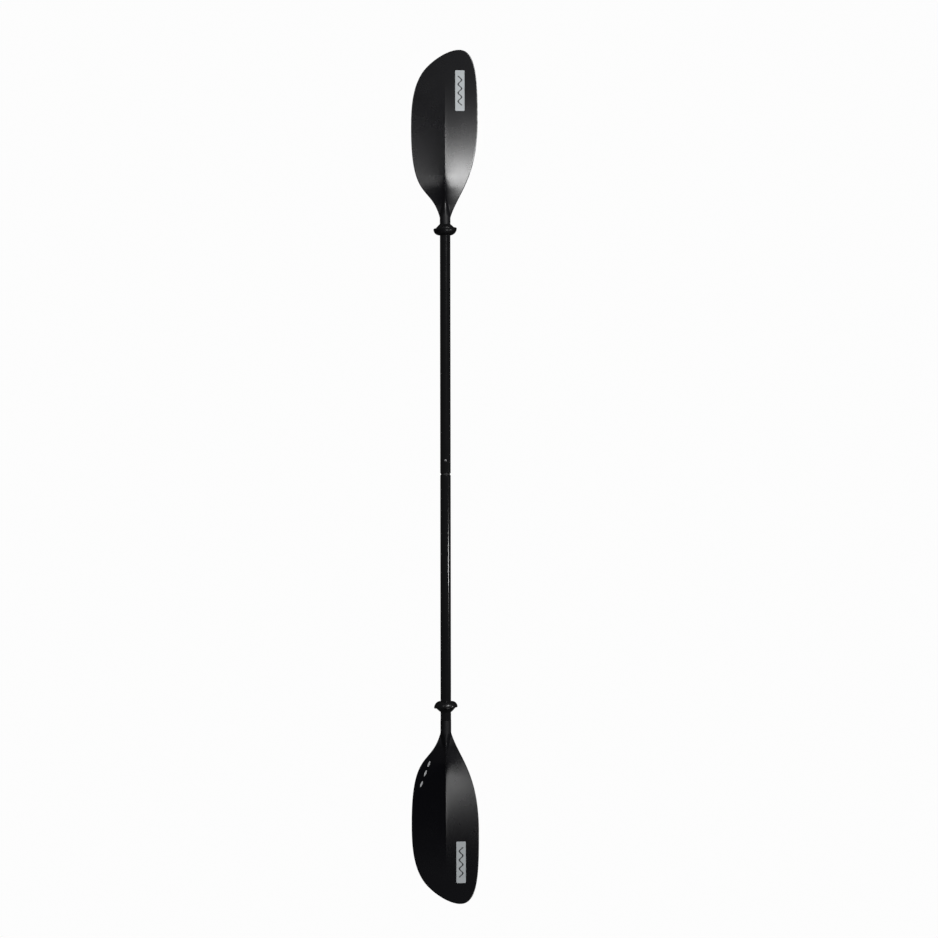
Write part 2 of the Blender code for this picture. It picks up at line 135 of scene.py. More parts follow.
def surface_grain():
    """Fine pitting, slow changes of shade and gloss, and long faint lines along Z.

    Height is grain noise plus line noise times their depths. The same slow noise moves the colour
    and the roughness up and down round their middle values.
    """
    tree, given, result = group(
        "surface_grain",
        {
            "Colour": ("Color", (0.02, 0.02, 0.02, 1)),
            "Second Colour": ("Color", (0.03, 0.03, 0.03, 1)),
            "Roughness": ("Float", 0.4),
            "Roughness Change": ("Float", 0.1),
            "Grain Scale": ("Float", 900.0),
            "Grain Depth": ("Float", 1.0),
            "Line Scale": ("Float", 400.0),
            "Line Depth": ("Float", 0.0),
        },
        {"Color": "Color", "Roughness": "Float", "Height": "Float"},
    )
    place = add(tree, "TexCoord").outputs["Object"]
    grain = add(
        tree, "TexNoise",
        {"Vector": place, "Scale": given["Grain Scale"], "Detail": grain_detail},
    )
    drawn = add(tree, "Mapping", {"Vector": place, "Scale": line_stretch})
    lines = add(
        tree, "TexNoise",
        {
            "Vector": drawn.outputs["Vector"], "Scale": given["Line Scale"],
            "Detail": line_detail,
        },
    )
    slow = add(
        tree, "TexNoise",
        {
            "Vector": place, "Scale": slow_scale, "Detail": slow_detail,
            "Roughness": slow_roughness,
        },
    )
    raised = add(
        tree, "Math", {0: grain.outputs["Fac"], 1: given["Grain Depth"]}, operation="MULTIPLY"
    )
    height = add(
        tree, "Math",
        {0: lines.outputs["Fac"], 1: given["Line Depth"], 2: raised.outputs[0]},
        operation="MULTIPLY_ADD",
    )
    swing = add(tree, "Math", {0: slow.outputs["Fac"], 1: -noise_middle}, operation="ADD")
    rough = add(
        tree, "Math",
        {0: swing.outputs[0], 1: given["Roughness Change"], 2: given["Roughness"]},
        operation="MULTIPLY_ADD",
    )
    shade = add(
        tree, "Mix",
        {0: slow.outputs["Fac"], 6: given["Colour"], 7: given["Second Colour"]},
        data_type="RGBA",
    )
    tree.links.new(shade.outputs[2], result["Color"])
    tree.links.new(rough.outputs[0], result["Roughness"])
    tree.links.new(height.outputs[0], result["Height"])
    return tree


grain_group = surface_grain()


def grained(name, grain, bump_distance, **shader_settings):
    """A material of the surface grain, with the rest set on its Principled shader."""
    made = bpy.data.materials.new(name)
    made.use_nodes = True
    tree = made.node_tree
    shader = tree.nodes["Principled BSDF"]
    for key, value in shader_settings.items():
        shader.inputs[key.replace("_", " ")].default_value = value
    surface = add(tree, "Group", grain, node_tree=grain_group)
    bump = add(
        tree, "Bump",
        {"Height": surface.outputs["Height"], "Distance": bump_distance, "Strength": 1.0},
    )
    tree.links.new(surface.outputs["Color"], shader.inputs["Base Color"])
    tree.links.new(surface.outputs["Roughness"], shader.inputs["Roughness"])
    tree.links.new(bump.outputs["Normal"], shader.inputs["Normal"])
    return made


def coated_tube():
    """Gloss black coating with a slight orange peel and the tube's draw lines under it."""
    return grained(
        "coated_tube",
        {
            "Colour": (0.004, 0.004, 0.005, 1),
            "Second Colour": (0.007, 0.007, 0.008, 1),
            "Roughness": 0.16,
            "Roughness Change": 0.06,
            "Grain Scale": 420.0,
            "Grain Depth": 0.3,
            "Line Scale": 520.0,
            "Line Depth": 0.3,
        },
        0.00002,
        IOR=1.5,
        Coat_Weight=0.3,
        Coat_Roughness=0.05,
    )


def patches(name, grids, look, sharp_from=sharp_angle, shapes=None):
    """One mesh of several grids of points, each an array (rows, columns, 3).

    Each cell of a grid is a face. Points that meet are merged, which closes seams and poles, and
    the faces are then turned outwards. Shapes, if given, are (rows, columns, 2) arrays of UVs.
    """
    points, faces, flat = [], [], []
    start = 0
    for number, grid in enumerate(grids):
        rows, columns = grid.shape[:2]
        index = start + np.arange(rows * columns).reshape(rows, columns)
        cells = np.stack([index[:-1, :-1], index[:-1, 1:], index[1:, 1:], index[1:, :-1]], axis=-1)
        points.append(grid.reshape(-1, 3))
        faces.append(cells.reshape(-1, 4))
        if shapes is not None:
            flat.append(shapes[number].reshape(-1, 2))
        start += rows * columns
    points, faces = np.vstack(points), np.vstack(faces)
    mesh = bpy.data.meshes.new(name)
    mesh.from_pydata(points.tolist(), [], faces.tolist())
    if shapes is not None:
        layer = mesh.uv_layers.new(name="UVMap")
        layer.data.foreach_set("uv", np.vstack(flat)[faces.ravel()].ravel())
    bm = bmesh.new()
    bm.from_mesh(mesh)
    bmesh.ops.remove_doubles(bm, verts=bm.verts, dist=1e-6)
    bmesh.ops.dissolve_degenerate(bm, edges=bm.edges, dist=1e-7)
    bmesh.ops.recalc_face_normals(bm, faces=bm.faces)
    bm.to_mesh(mesh)
    bm.free()
    mesh.shade_smooth()
    mesh.set_sharp_from_angle(angle=math.radians(sharp_from))
    mesh.materials.append(look)
    made = bpy.data.objects.new(name, mesh)
    bpy.context.scene.collection.objects.link(made)
    return made


def revolved(profile, steps=tube_steps):
    """Carries each (radius, height) point of a profile once round Z."""
    radius, height = np.array(profile, float).T
    turn = np.linspace(0, math.tau, steps + 1)
    x = np.outer(radius, np.sin(turn))
    y = -np.outer(radius, np.cos(turn))
    return np.stack([x, y, np.repeat(height[:, None], steps + 1, axis=1)], axis=-1)


def laid(grid, angle, height):
    """Turns a revolved grid so that its Z points out of the shaft, at an angle from -Y."""
    x, y, z = np.moveaxis(grid, -1, 0)
    out = np.stack([x, -z, y + height], axis=-1)
    spin = np.array([
        [math.cos(angle), -math.sin(angle), 0],
        [math.sin(angle), math.cos(angle), 0],
        [0, 0, 1],
    ])
    return out @ spin.T


def bored(thing, radius, places):
    """Cuts round holes through a tube's wall. Each place is an angle from -Y and a height."""
    cutters = []
    for angle, height in places:
        rod = [(0, cut_reach), (radius, cut_reach), (radius, shaft_radius + cut_reach)]
        rod.append((0, shaft_radius + cut_reach))
        cutter = patches("cutter", [laid(revolved(rod, hole_steps), angle, height)], None)
        cut = thing.modifiers.new("hole", "BOOLEAN")
        cut.operation = "DIFFERENCE"
        cut.solver = "EXACT"
        cut.object = cutter
        cutters.append(cutter)
    ready = thing.evaluated_get(bpy.context.evaluated_depsgraph_get())
    thing.data = bpy.data.meshes.new_from_object(ready)
    thing.modifiers.clear()
    thing.data.set_sharp_from_angle(angle=math.radians(sharp_angle))
    for cutter in cutters:
        bpy.data.objects.remove(cutter, do_unlink=True)


def rows_round(height):
    """Rows just above and below a hole, which keep the faces round it small."""
    return [height - hole_margin, height + hole_margin]


def shaft_tube(side, half, look):
    """Tube with eased ends, and rows of points near its joint's end and its holes."""
    ease = tube_end_round
    middle = [*(rows_round(button_height) if side > 0 else []), *rows_round(pin_height)]
    profile = [
        (bore_radius, joint_half),
        (shaft_radius - ease, joint_half),
        (shaft_radius - ease * end_bevel, joint_half + ease * end_bevel),
        (shaft_radius, joint_half + ease),
        (shaft_radius, joint_half + ease * end_row),
        *[(shaft_radius, height) for height in middle],
        (shaft_radius, tube_end - ease),
        (shaft_radius - ease, tube_end),
        (bore_radius, tube_end),
        *[(bore_radius, height) for height in middle[::-1]],
        (bore_radius, joint_half),
    ]
    tube = patches(f"shaft_tube_{half}", [revolved([(r, side * z) for r, z in profile])], look)
    bored(tube, pin_hole_radius, [(math.pi, side * pin_height)])
    if side > 0:
        angles = (0, feather_angle, -feather_angle)
        bored(tube, button_hole_radius, [(angle, button_height) for angle in angles])
    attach(tube, f"{half}_half")
    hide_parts(f"shaft_{half}")


tube_look = coated_tube()
for side, half in halves:
    shaft_tube(side, half, tube_look)


# ---- Ferrule and its cap -------------------------------------------------------------------
# A moulded sleeve riveted into the lower tube, with a shallow groove at the joint for the seal.
# The upper tube slides over it. A plug in its open end keeps the water out.

ferrule_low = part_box("ferrule")[0].z
ferrule_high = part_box("ferrule")[1].z
ferrule_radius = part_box("ferrule")[1].x
ferrule_wall = 0.002
ferrule_edge = 0.0003
seal_groove_depth = 0.0011
cap_stem = 0.008
cap_stem_radius = ferrule_radius - ferrule_wall - 0.0003
cap_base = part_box("ferrule_cap")[0].z + cap_stem
cap_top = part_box("ferrule_cap")[1].z
cap_round = 0.0015
rim_steps = 7


def ferrule_plastic():
    """Satin black moulding with fine drag lines from sliding in the tube."""
    return grained(
        "ferrule_plastic",
        {
            "Colour": (0.020, 0.020, 0.022, 1),
            "Second Colour": (0.032, 0.032, 0.035, 1),
            "Roughness": 0.42,
            "Roughness Change": 0.2,
            "Grain Scale": 1300.0,
            "Grain Depth": 0.5,
            "Line Scale": 700.0,
            "Line Depth": 0.8,
        },
        0.00005,
    )


def ferrule(look):
    """Sleeve with eased ends, the seal's groove and a clearance hole for the button."""
    inner = ferrule_radius - ferrule_wall
    bottom = ferrule_radius - seal_groove_depth
    ease = ferrule_edge
    profile = [
        (inner, ferrule_low),
        (ferrule_radius - ease, ferrule_low),
        (ferrule_radius, ferrule_low + ease),
        (ferrule_radius, -joint_half),
        (bottom, -joint_half),
        (bottom, joint_half),
        (ferrule_radius, joint_half),
        *[(ferrule_radius, height) for height in rows_round(button_height)],
        (ferrule_radius, ferrule_high - ease),
        (ferrule_radius - ease, ferrule_high),
        (inner, ferrule_high),
        *[(inner, height) for height in rows_round(button_height)[::-1]],
        (inner, ferrule_low),
    ]
    sleeve = patches("ferrule_sleeve", [revolved(profile)], look)
    bored(sleeve, button_hole_radius, [(0, button_height)])
    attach(sleeve, "lower_half")
    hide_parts("ferrule")


def cap(look):
    """Stepped plug with a rounded rim."""
    bend = np.linspace(0, math.pi / 2, rim_steps)
    rim = np.stack([
        ferrule_radius - cap_round * (1 - np.cos(bend)),
        cap_top - cap_round * (1 - np.sin(bend)),
    ], axis=1)
    profile = [
        (0, cap_base - cap_stem),
        (cap_stem_radius, cap_base - cap_stem),
        (cap_stem_radius, cap_base),
        (ferrule_radius, cap_base),
        *rim,
        (0, cap_top),
    ]
    plug = patches("ferrule_plug", [revolved(profile)], look)
    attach(plug, "lower_half")
    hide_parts("ferrule_cap")


ferrule_look = ferrule_plastic()
ferrule(ferrule_look)
cap(ferrule_look)


# ---- Joint seal ----------------------------------------------------------------------------
# A soft rubber band in the ferrule's groove. It fills the gap between the two tubes and sits a
# little deeper than their coating.

seal_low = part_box("joint_seal")[0].z
seal_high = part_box("joint_seal")[1].z
seal_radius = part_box("joint_seal")[1].x
seal_section = 0.001
seal_roll = 0.0003


def seal_rubber():
    """Matte black rubber with a dry bloom."""
    return grained(
        "seal_rubber",
        {
            "Colour": (0.016, 0.016, 0.018, 1),
            "Second Colour": (0.028, 0.028, 0.030, 1),
            "Roughness": 0.62,
            "Roughness Change": 0.15,
            "Grain Scale": 1600.0,
            "Grain Depth": 1.0,
        },
        0.00004,
    )


def joint_seal(look):
    """Band whose outer edges are rolled over on quarter circles."""
    bend = np.linspace(0, math.pi / 2, rim_steps)
    roll = np.stack([
        seal_radius - seal_roll * (1 - np.cos(bend)),
        seal_high - seal_roll * (1 - np.sin(bend)),
    ], axis=1)
    outer = np.vstack([roll * (1, -1), roll[::-1]])[::-1]
    inner = seal_radius - seal_section
    profile = [(inner, seal_high), *outer, (inner, seal_low), (inner, seal_high)]
    band = patches("seal_band", [revolved(profile)], look)
    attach(band, "joint_turn")
    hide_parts("joint_seal")


joint_seal(seal_rubber())


# ---- Push button ---------------------------------------------------------------------------
# A turned steel stud staked to one leg of a V of spring strip, which sits inside the ferrule. The
# stud stands out of the ferrule's and the upper tube's holes, and is pressed to part the halves.

button_top = -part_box("snap_button")[0].y
stud_edge = 0.0009
stud_dome = 0.0004
stud_base = 0.0102
stud_steps = 9
spring_width = 0.006
spring_thickness = 0.0006
spring_leg = 0.040
spring_tail = 0.007
spring_half_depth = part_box("snap_button")[1].y - spring_thickness / 2
spring_bend = 0.0025
spring_turn = math.radians(150)
spring_turn_steps = 19
spring_front_steps = 12
spring_back_steps = 24


def spring_steel():
    """Plain stainless strip and stud, lightly brushed, a little dull from handling."""
    return grained(
        "spring_steel",
        {
            "Colour": (0.30, 0.30, 0.31, 1),
            "Second Colour": (0.40, 0.40, 0.41, 1),
            "Roughness": 0.30,
            "Roughness Change": 0.2,
            "Grain Scale": 2500.0,
            "Grain Depth": 0.4,
            "Line Scale": 1500.0,
            "Line Depth": 1.0,
        },
        0.00003,
        Metallic=1.0,
    )


def button_stud(look):
    """Stud with a rounded rim and a low dome: profile is a straight side, an arc and a cap."""
    bend = np.linspace(0, math.pi / 2, stud_steps)
    shoulder = button_top - stud_dome
    rim = np.stack([
        button_radius - stud_edge * (1 - np.cos(bend)),
        shoulder - stud_edge * (1 - np.sin(bend)),
    ], axis=1)
    across = np.linspace(button_radius - stud_edge, 0, stud_steps)[1:]
    dome = np.stack([
        across, shoulder + stud_dome * (1 - (across / (button_radius - stud_edge)) ** 2)
    ], axis=1)
    profile = [(0, stud_base), (button_radius, stud_base), *rim, *dome]
    stud = patches("button_stud", [laid(revolved(profile, hole_steps), 0, button_height)], look)
    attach(stud, "button")
    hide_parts("snap_button")


def button_spring(look):
    """Strip of even thickness carried along a V path: two legs and a bend of part of a circle."""
    bend = np.linspace(0, spring_turn, spring_turn_steps)
    depth = spring_half_depth
    arc = np.stack([
        -depth + spring_bend * (1 - np.cos(bend)), spring_leg + spring_bend * np.sin(bend)
    ], axis=1)
    rise = np.linspace(-spring_tail, spring_leg, spring_front_steps)
    front = np.stack([np.full_like(rise, -depth), rise], axis=1)
    share = np.linspace(0, 1, spring_back_steps)[1:, None]
    back = arc[-1] + share * (np.array([depth, -spring_tail]) - arc[-1])
    path = np.vstack([front[:-1], arc, back])
    along = np.gradient(path, axis=0)
    along /= np.linalg.norm(along, axis=1)[:, None]
    normal = np.stack([-along[:, 1], along[:, 0]], axis=1)
    half_width, half_thick = spring_width / 2, spring_thickness / 2
    corners = np.array([(-1, -1), (1, -1), (1, 1), (-1, 1), (-1, -1)]) * (half_width, half_thick)
    grid = np.empty((len(path), 5, 3))
    grid[..., 0] = corners[:, 0]
    grid[..., 1:] = path[:, None] + normal[:, None] * corners[:, 1][None, :, None]
    grid[..., 2] += button_height
    ends = [np.stack([grid[k, :2], grid[k, 3:1:-1]]) for k in (0, -1)]
    spring = patches("button_spring", [grid, *ends], look)
    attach(spring, "lower_half")
    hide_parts("snap_button")
    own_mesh(spring)


steel_look = spring_steel()
button_stud(steel_look)
button_spring(steel_look)


# ---- Rivets and pins -----------------------------------------------------------------------
# Two domed blind rivets hold the ferrule in the lower tube, and a flush pin holds each blade's
# spigot. All are dark anodised aluminium, at the back of the shaft.

rivet_names = ("ferrule_rivet_1", "ferrule_rivet_2")
rivet_radius = 0.0016
rivet_head_radius = 0.0032
rivet_head_height = 0.001
rivet_tail_radius = 0.0022
rivet_tail_height = 0.001
rivet_seat = shaft_radius + 0.0001
rivet_tail_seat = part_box(rivet_names[0])[0].y + rivet_tail_height
pin_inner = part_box("blade_pin_upper")[0].y
pin_edge = 0.0002
pin_face_shares = np.linspace(0.8, 0, 6)
dome_steps = 12


def pin_metal():
    """Dark anodised aluminium, finely turned."""
    return grained(
        "pin_metal",
        {
            "Colour": (0.030, 0.030, 0.034, 1),
            "Second Colour": (0.055, 0.055, 0.060, 1),
            "Roughness": 0.34,
            "Roughness Change": 0.12,
            "Grain Scale": 2200.0,
            "Grain Depth": 0.6,
        },
        0.00003,
        Metallic=0.8,
    )


def rivet(name, look):
    """Domed head outside, a shank and a set tail inside. The dome is a part of a circle."""
    across = np.linspace(rivet_head_radius, 0, dome_steps)
    dome = np.sqrt(1 - (across / rivet_head_radius) ** 2) * rivet_head_height
    profile = [
        (0, rivet_tail_seat - rivet_tail_height),
        (rivet_tail_radius, rivet_tail_seat - rivet_tail_height / 2),
        (rivet_tail_radius, rivet_tail_seat),
        (rivet_radius, rivet_tail_seat),
        (rivet_radius, rivet_seat),
        *zip(across, rivet_seat + dome),
    ]
    middle = (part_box(name)[0].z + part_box(name)[1].z) / 2
    grid = laid(revolved(profile, hole_steps), math.pi, middle)
    made = patches(f"{name}_head", [grid], look)
    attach(made, "lower_half")
    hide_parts(name)


def pin(side, half, look):
    """Plain pin with an eased outer end, its face filed to the curve of the tube."""
    profile = [
        (0, pin_inner),
        (pin_radius, pin_inner),
        (pin_radius, shaft_radius - pin_edge),
        (pin_radius - pin_edge, shaft_radius),
        *[(pin_radius * share, shaft_radius) for share in pin_face_shares],
    ]
    grid = laid(revolved(profile, hole_steps), math.pi, side * pin_height)
    x, y = grid[..., 0], grid[..., 1]
    grid[..., 1] = np.minimum(y, np.sqrt(shaft_radius**2 - x**2))
    made = patches(f"flush_pin_{half}", [grid], look)
    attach(made, f"{half}_half")
    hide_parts(f"blade_pin_{half}")


pin_look = pin_metal()
for name in rivet_names:
    rivet(name, pin_look)
for side, half in halves:
    pin(side, half, pin_look)


# ---- Foam bungs ----------------------------------------------------------------------------
# Closed-cell foam plugs pushed down each tube. They keep the tubes afloat and can't be seen with
# the paddle whole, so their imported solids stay.


def bung_foam():
    """Grey closed-cell foam: an even pebbled surface of small cells."""
    return grained(
        "bung_foam",
        {
            "Colour": (0.26, 0.26, 0.27, 1),
            "Second Colour": (0.34, 0.34, 0.35, 1),
            "Roughness": 0.9,
            "Roughness Change": 0.1,
            "Grain Scale": 900.0,
            "Grain Depth": 1.0,
        },
        0.0004,
    )


foam_look = bung_foam()
for side, half in halves:
    for material_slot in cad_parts[f"tube_bung_{half}"].material_slots:
        material_slot.material = foam_look


# ---- Blades --------------------------------------------------------------------------------
# Injection-moulded nylon with short glass fibre, satin black. Each is one piece: a spigot and
# a round neck that flares into a dihedral power face with a crisp middle ridge, which fades
# towards the tip. The longer edge is on +X, and the lower blade mirrors the upper.

blade_length = 0.456
blade_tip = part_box("blade_upper")[1].z
flare_start = blade_tip - blade_length
neck_length = 0.033
neck_start = flare_start - neck_length
neck_radius = shaft_radius + 0.0003
spigot_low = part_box("blade_upper")[0].z
spigot_radius = bore_radius - 0.0003
spigot_wall = 0.003
spigot_bottom = 0.006
spigot_entry = 0.0012

long_side_reach = 0.0878
long_side_from_flare = 0.2661
long_side_rise = 0.1586
long_side_fall = 0.109
long_side_flare = (0.0191, 0.0645)
long_side_corner = 0.0479
short_side_reach = 0.0916
short_side_from_flare = 0.2438
short_side_rise = 0.2023
short_side_fall = 0.0523
short_side_flare = (0.0242, 0.0906)
slant_reach = 0.0592
slant_from_tip = 0.0584
slant_angle = math.radians(54.4)
slant_handles = (0.052, 0.0315)
tip_offset = 0.038
tip_handle = 0.0334

edge_half = 0.0016
edge_round = 0.0022
edge_forms_over = 0.024
ridge_height = 0.016
ridge_forms_over = 0.085
ridge_ends_at = 0.391
ridge_sharpness_near = 0.6
ridge_sharpness_far = 0.9
ridge_short_of_tip = 0.052
back_share = 0.70
cup_depth = 0.001
cup_ends_at = 0.300
bow_slope = 0.20
bow_forms_over = 0.105
bow_turns_at = 0.328
rib_length = 0.060
rib_narrowing = 0.35
rib_end_width = 0.010
spine_length = 0.260
spine_width = 0.012
spine_narrowing = 2.0
swell_end_roundness = 0.5
swell_sinking = 3.0
blend_radius = 0.003
neck_roughness = 0.55
neck_texture_fades = 0.075
least_reach = 0.0003
blade_rows = 220
blade_columns = 44
edge_steps = 60
bow_steps = 400
neck_rows = 12


def blade_plastic():
    """Satin black moulding: fine pitting with faint flow lines of the fibres along the blade.

    The necks are rougher, and the roughness falls off over the start of the blades.
    """
    made = grained(
        "blade_plastic",
        {
            "Colour": (0.0020, 0.0020, 0.0036, 1),
            "Second Colour": (0.0030, 0.0030, 0.0052, 1),
            "Roughness": 0.27,
            "Roughness Change": 0.04,
            "Grain Scale": 700.0,
            "Grain Depth": 0.5,
            "Line Scale": 160.0,
            "Line Depth": 0.3,
        },
        0.00003,
        IOR=1.5,
    )
    tree = made.node_tree
    shader = tree.nodes["Principled BSDF"]
    place = add(tree, "SeparateXYZ", {0: add(tree, "TexCoord").outputs["Object"]})
    from_joint = add(tree, "Math", {0: place.outputs["Z"]}, operation="ABSOLUTE")
    textured = add(
        tree, "MapRange",
        {
            0: from_joint.outputs[0], 1: flare_start, 2: flare_start + neck_texture_fades,
            3: neck_roughness, 4: 0.0,
        },
        interpolation_type="SMOOTHSTEP",
    )
    smooth = shader.inputs["Roughness"].links[0].from_socket
    rough = add(tree, "Math", {0: smooth, 1: textured.outputs[0]}, operation="MAXIMUM")
    tree.links.new(rough.outputs[0], shader.inputs["Roughness"])
    return made


def ease(value):
    """0 below 0, 1 above 1, and a smooth rise between."""
    value = np.clip(value, 0.0, 1.0)
    return value * value * (3 - 2 * value)


def bezier(start, handle, other_handle, end):
    """Cubic Bezier: the four points weighted by the powers of t and 1 - t."""
    t = np.linspace(0, 1, edge_steps)[:, None]
    weights = ((1 - t) ** 3, 3 * (1 - t) ** 2 * t, 3 * (1 - t) * t**2, t**3)
    return sum(w * np.array(p) for w, p in zip(weights, (start, handle, other_handle, end)))


def blade_sides():
    """The short and the long edge as (x, distance from the flare) from the neck to the tip."""
    tip = (tip_offset, blade_length)
    long_turn = (long_side_reach, long_side_from_flare)
    long_side = np.vstack([
        bezier(
            (neck_radius, 0), (neck_radius + long_side_flare[0], long_side_flare[1]),
            (long_side_reach, long_side_from_flare - long_side_rise), long_turn,
        ),
        bezier(
            long_turn, (long_side_reach, long_side_from_flare + long_side_fall),
            (tip_offset + long_side_corner, blade_length), tip,
        ),
    ])
    lean = np.array([math.cos(slant_angle), math.sin(slant_angle)])
    slant = np.array([-slant_reach, blade_length - slant_from_tip])
    short_turn = (-short_side_reach, short_side_from_flare)
    short_side = np.vstack([
        bezier(
            (-neck_radius, 0), (-neck_radius - short_side_flare[0], short_side_flare[1]),
            (-short_side_reach, short_side_from_flare - short_side_rise), short_turn,
        ),
        bezier(
            short_turn, (-short_side_reach, short_side_from_flare + short_side_fall),
            slant - lean * slant_handles[0], slant,
        ),
        bezier(
            slant, slant + lean * slant_handles[1], (tip_offset - tip_handle, blade_length), tip
        ),
    ])
    return short_side, long_side


short_edge, long_edge = blade_sides()


def out_share(x, distance):
    """How far out x lies between the axis, 0, and the edge on its side, 1."""
    left = np.interp(distance, short_edge[:, 1], short_edge[:, 0])
    right = np.interp(distance, long_edge[:, 1], long_edge[:, 0])
    reach = np.maximum(np.where(x < 0, -left, right), least_reach)
    return np.clip(np.abs(x) / reach, 0, 1)


def mid_surface(x, distance):
    """The spoon shape: a bow along the blade, added up from its slope, and a cup across it.

    The slope starts at nothing at the neck and falls steadily past the middle. The cup is the
    square of the way out to the edge.
    """
    steps = np.linspace(0, blade_length, bow_steps)
    slope = bow_slope * ease(steps / bow_forms_over) * (1 - steps / bow_turns_at)
    bowed = np.cumsum(slope) * steps[1]
    formed = ease(distance / ridge_forms_over)
    left_over = 1 - ease((distance - ridge_forms_over) / (cup_ends_at - ridge_forms_over))
    cup = cup_depth * formed * left_over * out_share(x, distance) ** 2
    return np.interp(distance, steps, bowed) - cup


def swell(x, half_width, height, share):
    """The neck's round form over the blade: a half circle that turns into a low arch.

    The arch is a power of a parabola, and it goes below zero past its sides.
    """
    roundness = swell_end_roundness + ease(swell_sinking * share)
    arch = 1 - (x / half_width) ** 2
    return height * np.sign(arch) * np.abs(arch) ** roundness


def joined(one, other, freedom):
    """The larger of two heights, with a fillet where they meet. At freedom 0 there is none."""
    near = np.clip(1 - np.abs(one - other) / blend_radius, 0, 1)
    return np.maximum(one, other) + near**2 * freedom * blend_radius / 4


def edge_distance(x, distance):
    """How far each point is from the nearest point of the two edges."""
    rim = np.vstack([short_edge, long_edge[::-1]])
    spots = np.stack([x.ravel(), distance.ravel()], axis=1)
    gaps = [np.linalg.norm(spots - point, axis=1) for point in rim]
    return np.min(gaps, axis=0).reshape(x.shape)


def blade_faces(x, distance):
    """Y of the power face and of the back at points x and a distance from the flare.

    Half the thickness is a thin edge plus a tent that falls from the ridge to the edge. It is
    rounded off near the outline on an ellipse. A rib lies over it at the front and a spine at the
    back, and both grow out of the neck.
    """
    fades = (distance - ridge_forms_over) / (ridge_ends_at - ridge_forms_over)
    ridge = ridge_height * ease(distance / ridge_forms_over) * (1 - ease(fades))
    opened = ease((distance - rib_length) / rib_length)
    sharpness = ridge_sharpness_near + (ridge_sharpness_far - ridge_sharpness_near) * opened
    tent = ridge * (1 - out_share(x, distance) ** sharpness)
    formed = ease(distance / edge_forms_over)
    thin = edge_half * formed
    inward = np.clip(edge_distance(x, distance) / edge_round, 0, 1)
    rounding = np.sqrt(1 - (1 - inward) ** 2)

    run = np.clip(distance / rib_length, 0, 1)
    rib_half = np.maximum(neck_radius * (1 - run**2) ** rib_narrowing, rib_end_width / 2)
    rib_height = neck_radius - (neck_radius - thin - ridge) * ease(run)
    rib = swell(x, rib_half, rib_height, run)
    front = joined((thin + tent) * rounding, rib, formed * rounding * (1 - run))

    sunk = ease(distance / spine_length)
    narrowed = ease(spine_narrowing * distance / spine_length)
    spine_half = neck_radius - (neck_radius - spine_width / 2) * narrowed
    spine = swell(x, spine_half, neck_radius * (1 - sunk), np.maximum(distance / spine_length, 0))
    back = joined((thin - back_share * tent) * rounding, spine, formed * rounding * (1 - sunk))

    middle = mid_surface(x, distance)
    return middle - front, middle + back


def even_along(curve, steps):
    """Points at even shares of a curve's length, closer together at both ends."""
    gaps = np.linalg.norm(np.diff(curve, axis=0), axis=1)
    travelled = np.concatenate([[0], np.cumsum(gaps)])
    share = (1 - np.cos(math.pi * np.linspace(0, 1, steps))) / 2
    share = 0.5 * share + 0.5 * np.linspace(0, 1, steps)
    wanted = share * travelled[-1]
    return np.stack([np.interp(wanted, travelled, curve[:, k]) for k in (0, 1)], axis=1)


def blade_grid():
    """Points (x, distance) over the blade and its neck, in rows from one edge to the other.

    Each row runs from the short edge to the ridge and on to the long edge. The rows fan out round
    the tip, because the ridge's end lies short of it. Columns crowd at the ridge and the edges.
    """
    left = even_along(short_edge, blade_rows)
    right = even_along(long_edge, blade_rows)
    middle = (left[:, 1] + right[:, 1]) / 2
    middle = middle - ridge_short_of_tip * (middle / blade_length) ** 4
    crest = np.stack([0 * middle, middle], axis=1)
    neck = np.linspace(-neck_length, 0, neck_rows)[:-1]
    side = np.full_like(neck, neck_radius)
    left = np.vstack([np.stack([-side, neck], axis=1), left])
    right = np.vstack([np.stack([side, neck], axis=1), right])
    crest = np.vstack([np.stack([0 * neck, neck], axis=1), crest])
    share = (1 - np.cos(math.pi * np.linspace(0, 1, blade_columns + 1))) / 2
    to_left = crest[:, None] + share[None, :, None] * (left - crest)[:, None]
    to_right = crest[:, None] + share[None, :, None] * (right - crest)[:, None]
    return np.concatenate([to_left[:, ::-1], to_right[:, 1:]], axis=1)


def placed(x, y, distance, side):
    """Points of the blade in the paddle's frame. Side -1 is the mirror image below the joint."""
    return np.stack([x, y, side * (flare_start + distance)], axis=-1)


def blade(side, half, look):
    """The two faces of the blade and neck, the neck's end ring, and the hollow spigot."""
    x, distance = np.moveaxis(blade_grid(), -1, 0)
    front, back = blade_faces(x, distance)
    faces = [placed(x, y, distance, side) for y in (front, back)]
    circle = np.stack([placed(x[0], y[0], distance[0], side) for y in (front, back)])
    shoulder = circle * (spigot_radius / neck_radius, spigot_radius / neck_radius, 1)
    end_rings = [np.stack([circle[k], shoulder[k]]) for k in (0, 1)]
    hollow = spigot_radius - spigot_wall
    across = [
        (spigot_radius, neck_start),
        (spigot_radius, pin_height + hole_margin),
        (spigot_radius, pin_height - hole_margin),
        (spigot_radius, spigot_low + spigot_entry),
        (spigot_radius - spigot_entry, spigot_low),
        (hollow, spigot_low),
        (hollow, neck_start - spigot_bottom),
        (0, neck_start - spigot_bottom),
    ]
    angle = np.arctan2(circle[0, :, 0], -circle[0, :, 1])
    angle = np.concatenate([angle, (math.pi - angle)[::-1][1:]])
    spigot = np.stack([
        np.stack([
            radius * np.sin(angle), -radius * np.cos(angle), np.full_like(angle, side * height)
        ], axis=-1)
        for radius, height in across
    ])
    made = patches(f"blade_{half}_moulding", [*faces, *end_rings, spigot], look)
    bored(made, pin_hole_radius, [(math.pi, side * pin_height)])
    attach(made, f"{half}_half")
    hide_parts(f"blade_{half}")


blade_look = blade_plastic()
for side, half in halves:
    blade(side, half, blade_look)


